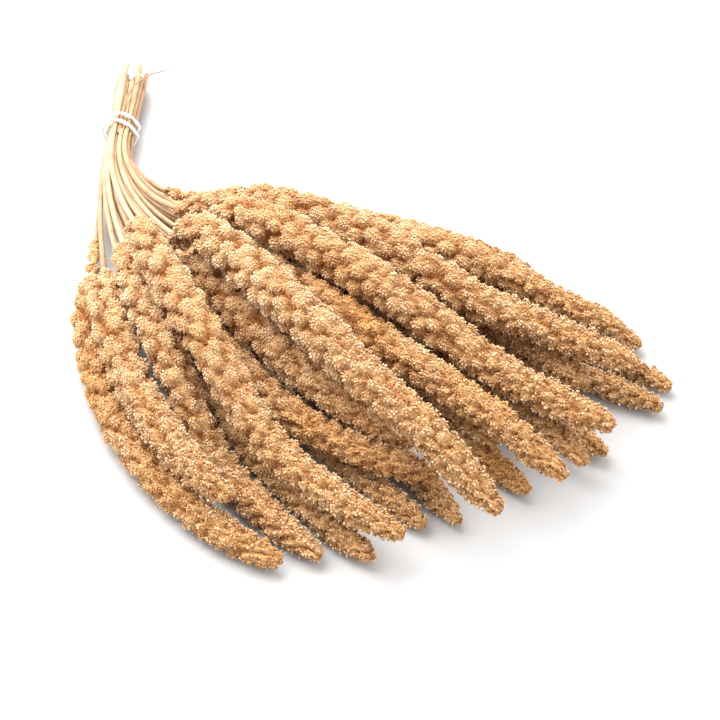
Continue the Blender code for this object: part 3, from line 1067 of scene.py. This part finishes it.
    def showing(self, points: Array, outward: Array, others: list[LaidSpray]) -> Array:
        """Which grains can be seen: not buried in another head, and half of those on the table side.

        Args:
            points: places of the grains.
            outward: outward directions there.
            others: the other sprays of the bunch.

        Returns:
            True for each grain that is kept.
        """
        keep = np.ones(len(points), dtype=bool)
        for other in others:
            line = other.line()
            low = line.min(axis=0) - self.near_other
            high = line.max(axis=0) + self.near_other
            near = np.flatnonzero(keep & ((points > low) & (points < high)).all(axis=1))
            if len(near) == 0:
                continue
            apart = ((points[near][:, None, :] - line[None, :, :]) ** 2).sum(axis=2)
            nearest = apart.argmin(axis=1)
            inside = np.sqrt(apart[np.arange(len(near)), nearest]) < other.radius[nearest] - self.buried
            keep[near[inside]] = False
        under = (outward[:, 2] < self.under_side) & (self.rng.random(len(points)) < self.under_dropped)
        return keep & ~under

    def ripeness(self, t: Array, angle: Array) -> Array:
        """Share of the ripe orange: the tint's own, plus three sine waves along and round the head.

        Args:
            t: distances along the head.
            angle: angles round it.

        Returns:
            Share at each point, from 0 to 1.
        """
        level = self.spray.row.tint.value
        first, second, third = self.rng.uniform(0.0, 2.0 * math.pi, 3)
        quick, slow, slanting = self.patch_rates
        wave = np.sin(t * quick + first) + np.sin(t * slow + second)
        wave = wave + np.sin(2.0 * angle + third + t * slanting)
        least, more = self.patch_depth
        return np.clip(level + (least + more * level) * wave, 0.0, 1.0)

    def grains(self, others: list[LaidSpray]) -> tuple[Surface, Array, Array]:
        """Grains over the head, each a blunt four-sided spike that leans to the tip.

        The spike's foot is a square sunk a little under the lobed surface. It counts as lower
        down than the crest, so painted shade shows as a brown web between the grains, most of all near the
        tip.

        Args:
            others: the other sprays of the bunch.

        Returns:
            The grains, and the place and outward direction of each, for the bristles.
        """
        t, angle = self.scatter()
        radius, relief = self.surface_radius(t, angle)
        step = self.slope_step
        along = (self.surface_radius(t + step, angle)[0] - radius) / step
        sideways = (self.surface_radius(t, angle + step / radius)[0] - radius) / step
        along = np.clip(along, -self.slope_most, self.slope_most)[:, None]
        sideways = np.clip(sideways, -self.slope_most, self.slope_most)[:, None]
        points, tangent, outward, across = self.place_points(t, angle, radius)
        normal = unit(outward - along * tangent - sideways * across)
        keep = self.showing(points, outward, others)
        points, normal, tangent = points[keep], normal[keep], tangent[keep]
        relief, t, angle = relief[keep], t[keep], angle[keep]
        count = len(points)
        tilt = self.rng.normal(0.0, self.grain_tilt, (count, 3))
        axis = unit(normal + self.grain_lean * tangent + tilt)
        first = unit(np.cross(axis, unit(self.rng.normal(0.0, 1.0, (count, 3)))))
        second = np.cross(axis, first)
        size = self.rng.uniform(*self.grain_size, count)[:, None]
        share = self.share(t)[:, None]
        foot = -axis * between(self.grain_foot, share)
        reach = between(self.grain_reach, share) * size
        places = [axis * self.grain_height * size]
        places += [foot + way * reach for way in (first, second, -first, -second)]
        corners = points[:, None, :] + np.stack(places, axis=1)
        corners[:, :, 2] = np.maximum(corners[:, :, 2], self.table_clear)
        faces = np.array([[0, 1, 2], [0, 2, 3], [0, 3, 4], [0, 4, 1], [1, 3, 2], [1, 4, 3]])
        triangles = (faces[None, :, :] + 5 * np.arange(count)[:, None, None]).reshape(-1, 3)
        shade = np.ones((count, 5, 4))
        shade[:, :, 0] = np.clip(self.rng.normal(*self.grain_tone, count), 0.0, 1.0)[:, None]
        # Green is the height that sets the painted shade; lowered at the feet, it paints shade between the
        # grains
        shade[:, :, 1] = relief[:, None]
        shade[:, 1:, 1] -= between(self.foot_painted_shade, share)
        shade[:, :, 2] = self.ripeness(t, angle)[:, None]
        grains = Surface(corners.reshape(-1, 3), triangles, shade.reshape(-1, 4), np.ones(len(triangles)))
        return grains, points, unit(normal + 0.5 * tangent)

    def hairs(self, roots: Array, direction: Array) -> Surface:
        """Fine bristles: thin three-sided spikes from some of the grains.

        Args:
            roots: places of the grains.
            direction: way that a bristle leaves each of them.

        Returns:
            The bristles.
        """
        pick = self.rng.choice(len(roots), min(self.bristles, len(roots)), replace=False)
        count = len(pick)
        lean = unit(direction[pick] + self.rng.normal(0.0, self.bristle_shake, (count, 3)))
        length = self.rng.uniform(*self.bristle_length, count)[:, None]
        first = unit(np.cross(lean, unit(self.rng.normal(0.0, 1.0, (count, 3)))))
        second = np.cross(lean, first)
        corners = [roots[pick] + lean * length]
        for turn in around(3):
            spoke = math.cos(turn) * first + math.sin(turn) * second
            corners.append(roots[pick] + 0.5 * self.bristle_width * spoke)
        points = np.stack(corners, axis=1)
        points[:, :, 2] = np.maximum(points[:, :, 2], self.table_clear)
        spike = np.array([[0, 1, 2], [0, 2, 3], [0, 3, 1], [1, 3, 2]])
        triangles = (spike[None, :, :] + 4 * np.arange(count)[:, None, None]).reshape(-1, 3)
        shade = np.ones((4 * count, 4))
        shade[:, 0] = np.repeat(self.rng.uniform(*self.bristle_tone, count), 4)
        shade[:, 2] = 0.0
        return Surface(points.reshape(-1, 3), triangles, shade, np.ones(len(triangles)))

    def build(
        self, others: list[LaidSpray], core: bpy.types.Material, grain: bpy.types.Material
    ) -> bpy.types.Object:
        """Make the head and put it in the place of its solid.

        Args:
            others: the other sprays of the bunch.
            core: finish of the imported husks.
            grain: finish of grains and bristles.

        Returns:
            The head's object.
        """
        grains, roots, direction = self.grains(others)
        whole = Surface.join([self.core(), grains, self.hairs(roots, direction)])
        thing = whole.as_object("seed_head_%02d" % self.number, [core, grain])
        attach(thing, "root")
        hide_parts("head_%02d" % self.number)
        return thing


@dataclass
class StrawStem:
    """One straw stem, from its torn cut end through the tie to the base of its head."""

    number: int
    spray: LaidSpray
    layout: BunchLayout
    flare: float = 0.16
    sides: int = 12
    step: float = 0.003
    end_gap: float = 0.0003
    ribs: int = 5
    rib_depth: float = 0.035
    flatness: float = 0.06
    sheath: float = 0.32
    sheath_length: float = 0.045
    tear: Span = (0.002, 0.009)
    end_stations: int = 26

    def path(self, cut: float) -> tuple[Array, Array]:
        """Centre line from the cut end to the head.

        Past the tie the stems spread a little from the bundle's middle, by a smooth step.

        Args:
            cut: distance from the tie to the cut end.

        Returns:
            Points and the distance along the stem at each.
        """
        layout = self.layout
        inner = np.arange(0.0, self.spray.row.stem - self.end_gap, self.step)
        inner = np.concatenate((inner, [self.spray.row.stem - self.end_gap]))
        back = np.linspace(cut, layout.held, self.end_stations)
        spread = 1.0 + self.flare * ease((back - layout.held) / (cut - layout.held))
        middle = layout.bundle_low + 0.5 * (len(layout.rows) - 1) * layout.pitch * layout.row_rise
        outer = np.stack([
            layout.tie_x + (self.spray.slot[0] - layout.tie_x) * spread,
            layout.tie_y + back,
            middle + (self.spray.slot[1] - middle) * spread,
        ], axis=1)
        points = np.concatenate((outer, self.spray.centre_at(inner)))
        lengths = np.linalg.norm(np.diff(points, axis=0), axis=1)
        return points, np.concatenate(([0.0], np.cumsum(lengths)))

    def build(self, material: bpy.types.Material) -> bpy.types.Object:
        """Carry a slightly flat, ribbed profile along the stem and tear its cut end.

        The radius is the stem's own times one plus small cosines of the angle: twice round for
        the flat, and five times round for the ribs. It grows by the sheath's share, by a smooth
        step away from the tie. Near the cut, each side of the profile stops at its own distance,
        so the end is a slanting tear.

        Args:
            material: the straw finish.

        Returns:
            The stem's object.
        """
        rng = np.random.default_rng(700 + self.number)
        node = "stem_%02d" % self.number
        cut = float(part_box(node)[1][1]) - self.layout.tie_y
        points, s = self.path(cut)
        _, side, up = frames_along(points)
        angle = around(self.sides)
        turn = rng.uniform(0.0, 2.0 * math.pi)
        flat = self.flatness * np.cos(2.0 * (angle + turn))
        rib = self.rib_depth * np.cos(self.ribs * angle + turn)
        radius = self.spray.stem_radius * (1.0 + flat + rib)
        depth = rng.uniform(*self.tear)
        stop = depth * (0.5 + 0.5 * np.cos(angle - rng.uniform(0.0, 2.0 * math.pi))) ** 1.5
        place = np.maximum(s[:, None], stop[None, :])
        centre = np.stack([np.interp(place, s, points[:, k]) for k in range(3)], axis=-1)
        from_tie = np.linalg.norm(centre - self.spray.centre_at(np.array(0.0)), axis=-1)
        swell = 1.0 + self.sheath * ease(from_tie / self.sheath_length)
        rings = centre + (radius[None, :] * swell)[:, :, None] * spokes(angle, side, up)
        pith = points[0] + (points[2] - points[0]) * 0.5
        surface_points, triangles = closed_tube(rings, pith, points[-1])
        shade = fibre_shade(len(surface_points), s + self.number, angle, rng.uniform(0.0, 1.0))
        whole = Surface(surface_points, triangles, shade, np.zeros(len(triangles)))
        thing = whole.as_object("straw_stem_%02d" % self.number, [material])
        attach(thing, "root")
        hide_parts(node)
        return thing


@dataclass
class TieCord:
    """White cord in two turns that spread on the right and cross on the left."""

    layout: BunchLayout
    slots: list[Span]
    cord_radius: float = 0.0013
    clearance: float = 0.0003
    spread: float = 0.0062
    lift: float = 0.0030
    segments: int = 420
    sides: int = 14
    plies: int = 2
    twist: float = 620.0
    ply_depth: float = 0.20
    directions: int = 720
    lean_least: float = 0.05
    thread_rate: float = 40.0

    def outline(self, angles: Array) -> tuple[Array, Array]:
        """Distance from the bundle's middle to a line wound tightly round its stems.

        Along each ray it is the nearest of the tangent lines of the stems' rims, pushed out by
        the cord's own radius.

        Args:
            angles: directions of the rays.

        Returns:
            The bundle's middle and the distance along each ray.
        """
        centres = np.array(self.slots)
        middle = 0.5 * (centres.min(axis=0) + centres.max(axis=0))
        reach = 0.5 * self.layout.stem_width + self.clearance + self.cord_radius
        normals = around(self.directions)
        directions = np.stack((np.cos(normals), np.sin(normals)), axis=1)
        support = ((centres - middle) @ directions.T).max(axis=0) + reach
        rays = np.stack((np.cos(angles), np.sin(angles)), axis=1)
        lean = rays @ directions.T
        reached = np.where(lean > self.lean_least, support / np.maximum(lean, self.lean_least), np.inf)
        return middle, reached.min(axis=1)

    def build(self, material: bpy.types.Material) -> bpy.types.Object:
        """Carry a two-ply twisted profile round the closed path of the cord.

        Args:
            material: the cord finish.

        Returns:
            The cord's object.
        """
        wind = np.linspace(0.0, 4.0 * math.pi, self.segments, endpoint=False)
        middle, distance = self.outline(wind)
        radius = distance + self.lift * np.clip(np.sin(0.5 * wind), 0.0, 1.0) ** 4
        centre = np.stack([
            middle[0] + radius * np.cos(wind),
            self.layout.tie_y + self.spread * np.cos(0.5 * wind),
            middle[1] + radius * np.sin(wind),
        ], axis=1)
        tangent = unit(np.roll(centre, -1, axis=0) - np.roll(centre, 1, axis=0))
        outward = np.stack((np.cos(wind), np.zeros_like(wind), np.sin(wind)), axis=1)
        across = unit(np.cross(tangent, outward))
        outward = np.cross(across, tangent)
        lengths = np.linalg.norm(np.roll(centre, -1, axis=0) - centre, axis=1)
        s = np.cumsum(lengths) - lengths
        turns = round(self.twist * s[-1] / (2.0 * math.pi))
        angle = around(self.sides)
        phase = self.plies * angle[None, :] - 2.0 * math.pi * turns * (s / (s[-1] + lengths[-1]))[:, None]
        fullness = 2.0 * np.abs(np.cos(0.5 * phase)) - 1.5
        size = self.cord_radius * (1.0 + self.ply_depth * fullness)
        rings = centre[:, None, :] + size[:, :, None] * spokes(angle, outward, across)
        points = rings.reshape(-1, 3)
        triangles = grid_triangles(self.segments, self.sides, closed=True)[:, ::-1]
        shade = np.ones((len(points), 4))
        shade[:, 0] = np.repeat(s * self.thread_rate, self.sides)
        shade[:, 1] = np.tile(angle / (2.0 * math.pi), self.segments)
        whole = Surface(points, triangles, shade, np.zeros(len(triangles)))
        thing = whole.as_object("tie_cord", [material])
        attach(thing, "root")
        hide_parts("tie")
        return thing


@dataclass
class TornStrand:
    """Thin curled strand of leaf sheath that springs free of the tie."""

    layout: BunchLayout
    half_width: float = 0.0014
    thickness: float = 0.00050
    tip_share: float = 0.60
    sides: int = 8
    stations: int = 60
    smoothing: int = 6
    route: tuple[tuple[float, float, float], ...] = (
        (0.0000, -0.0160, 0.0000),
        (0.0000, 0.0180, 0.0000),
        (0.0010, 0.0280, 0.0022),
        (0.0045, 0.0370, 0.0056),
        (0.0105, 0.0470, 0.0074),
        (0.0180, 0.0540, 0.0080),
        (0.0270, 0.0580, 0.0086),
    )

    def build(self, material: bpy.types.Material) -> bpy.types.Object:
        """Carry a thin oval that narrows to the tip along a smooth line through the route.

        Args:
            material: the straw finish.

        Returns:
            The strand's object.
        """
        layout = self.layout
        top = layout.bundle_low + (len(layout.rows) - 1) * layout.pitch * layout.row_rise
        route = np.array(self.route) + np.array((layout.tie_x, layout.tie_y, top))
        knots = np.concatenate(([0.0], np.cumsum(np.linalg.norm(np.diff(route, axis=0), axis=1))))
        s = np.linspace(0.0, knots[-1], self.stations)
        points = np.stack([np.interp(s, knots, route[:, k]) for k in range(3)], axis=1)
        for _ in range(self.smoothing):
            points[1:-1] = 0.25 * points[:-2] + 0.5 * points[1:-1] + 0.25 * points[2:]
        _, side, up = frames_along(points)
        angle = around(self.sides)
        narrow = 1.0 - (1.0 - self.tip_share) * ease(s / s[-1])
        wide = np.cos(angle)[None, :, None] * side[:, None, :] * (self.half_width * narrow)[:, None, None]
        thin = np.sin(angle)[None, :, None] * up[:, None, :] * self.thickness
        surface_points, triangles = closed_tube(points[:, None, :] + wide + thin, points[0], points[-1])
        shade = fibre_shade(len(surface_points), s, angle, 0.0)
        whole = Surface(surface_points, triangles, shade, np.zeros(len(triangles)))
        thing = whole.as_object("torn_strand", [material])
        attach(thing, "root")
        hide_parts("strand")
        return thing


@dataclass
class Studio:
    """Pale floor, soft lights and the camera."""

    layout: BunchLayout
    floor_half: float = 4.0
    floor_drop: float = 0.0001
    elevation: float = 39.0
    distance: float = 1.10
    lens: float = 88.0
    aim: tuple[float, float] = (0.174, -0.250)
    world_strength: float = 1.22
    key_power: float = 52.0
    key_size: float = 1.6
    key_place: tuple[float, float, float] = (-0.60, 0.50, 1.30)
    fill_power: float = 9.0
    fill_place: tuple[float, float, float] = (0.90, -0.90, 1.10)

    def floor(self) -> None:
        """Large pale floor just under the bunch."""
        half = self.floor_half
        corners = [(-half, -half), (half, -half), (half, half), (-half, half)]
        mesh = bpy.data.meshes.new("floor")
        mesh.from_pydata([(x, y, -self.floor_drop) for x, y in corners], [], [(0, 1, 2, 3)])
        mesh.materials.append(FloorFinish().material())
        thing = bpy.data.objects.new("floor", mesh)
        bpy.context.scene.collection.objects.link(thing)

    def area_light(self, name: str, power: float, size: float, place: tuple[float, float, float]) -> None:
        """Square soft light that faces the middle of the bunch.

        Args:
            name: name of the light.
            power: its power in watts.
            size: its side.
            place: where it stands.
        """
        lamp = bpy.data.lights.new(name, "AREA")
        lamp.energy = power
        lamp.size = size
        thing = bpy.data.objects.new(name, lamp)
        thing.location = place
        spot = -np.array(place)
        level = math.hypot(spot[0], spot[1])
        thing.rotation_euler = (math.atan2(level, -spot[2]), 0.0, math.atan2(-spot[0], spot[1]))
        bpy.context.scene.collection.objects.link(thing)

    def lights(self) -> None:
        """Even white surroundings, a large soft key from behind on the left and a weak fill."""
        scene = bpy.context.scene
        world = bpy.data.worlds.new("studio_white")
        world.use_nodes = True
        background = world.node_tree.nodes["Background"]
        background.inputs["Color"].default_value = (1.0, 1.0, 1.0, 1.0)
        background.inputs["Strength"].default_value = self.world_strength
        scene.world = world
        scene.view_settings.view_transform = "Standard"
        self.area_light("key_light", self.key_power, self.key_size, self.key_place)
        self.area_light("fill_light", self.fill_power, self.key_size, self.fill_place)

    def camera(self) -> None:
        """Camera that looks along +Y and down at the photograph's angle."""
        data = bpy.data.cameras.new("camera")
        data.lens = self.lens
        thing = bpy.data.objects.new("camera", data)
        lean = math.radians(self.elevation)
        thing.location = (
            self.layout.tie_x + self.aim[0],
            self.layout.tie_y + self.aim[1] - self.distance * math.cos(lean),
            self.distance * math.sin(lean),
        )
        thing.rotation_euler = (math.radians(90.0 - self.elevation), 0.0, 0.0)
        bpy.context.scene.collection.objects.link(thing)
        bpy.context.scene.camera = thing

    def build(self) -> None:
        """Make camera, floor and lights."""
        self.camera()
        self.floor()
        self.lights()


def report(thing: bpy.types.Object) -> None:
    """Log a finished piece with its number of triangles."""
    LOG.info("%s: %d triangles", thing.name, len(thing.data.polygons))


def main() -> None:
    """Build the stage, then every head, stem, the tie and the strand."""
    logging.basicConfig(level=logging.INFO, format="%(message)s")
    layout = BunchLayout()
    Studio(layout).build()
    laid = layout.lay()
    # The crease colours of core and grains are painted shade.
    core = CoreFinish("packed_husks", crest=(0.61, 0.37, 0.16), crease=(0.24, 0.07, 0.009)).material()
    grain = GrainFinish(
        "millet_grains",
        dark=(0.82, 0.61, 0.37),
        middle=(0.91, 0.73, 0.50),
        light=(0.95, 0.80, 0.59),
        crease=(0.46, 0.195, 0.046),
        ripe=(0.85, 0.46, 0.17),
    ).material()
    straw = StrawFinish(
        "dry_straw", pale=(0.76, 0.55, 0.35), brown=(0.38, 0.21, 0.10), stain=(0.28, 0.14, 0.06)
    ).material()
    cord = CordFinish("white_cord", white=(0.92, 0.92, 0.91), shade=(0.72, 0.72, 0.72)).material()
    for number, spray in enumerate(laid, start=1):
        others = [other for other in laid if other is not spray]
        report(SeedHead(number, spray, layout).build(others, core, grain))
        report(StrawStem(number, spray, layout).build(straw))
    slots = [spray.slot for spray in laid]
    slots.append((layout.tie_x, slots[-1][1]))
    report(TieCord(layout, slots).build(cord))
    report(TornStrand(layout).build(straw))


if __name__ == "__main__":
    main()
